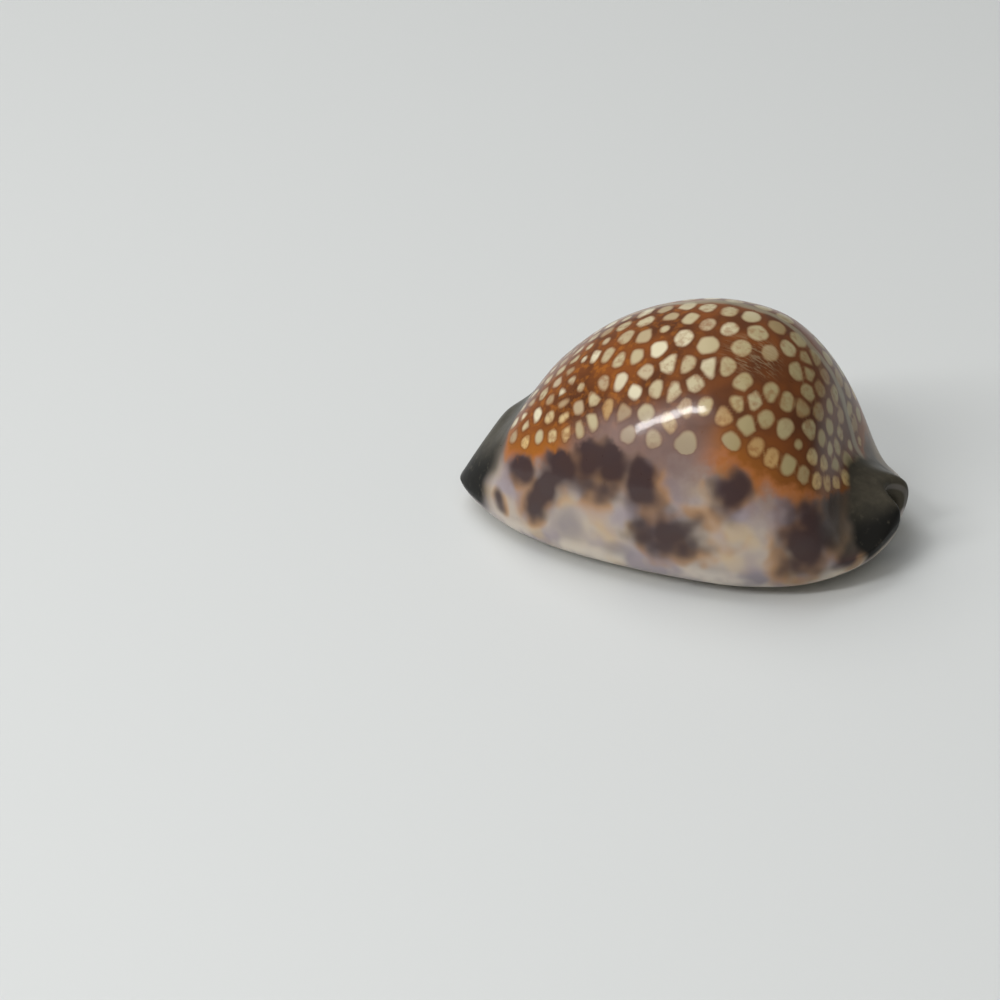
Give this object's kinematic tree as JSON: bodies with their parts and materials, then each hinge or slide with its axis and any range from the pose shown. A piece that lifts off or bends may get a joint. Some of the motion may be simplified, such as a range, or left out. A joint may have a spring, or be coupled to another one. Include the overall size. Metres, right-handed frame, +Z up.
{
  "type": "cowrie shell",
  "caption": "Glossy cowrie shell: an egg-shaped dome over a flat base, split from end to end by a toothed slit, hollow inside.",
  "frame": {"origin": "bottom centre, on the plane the shell rests on", "axes": "+X along the shell to its posterior end, +Y to the outer lip's side, +Z up"},
  "size_m": [0.0632, 0.0408, 0.0327],
  "materials": {
    "shell": "polished, spotted"
  },
  "bodies": {
    "root": {"shell": "shell"}
  },
  "joints": []
}
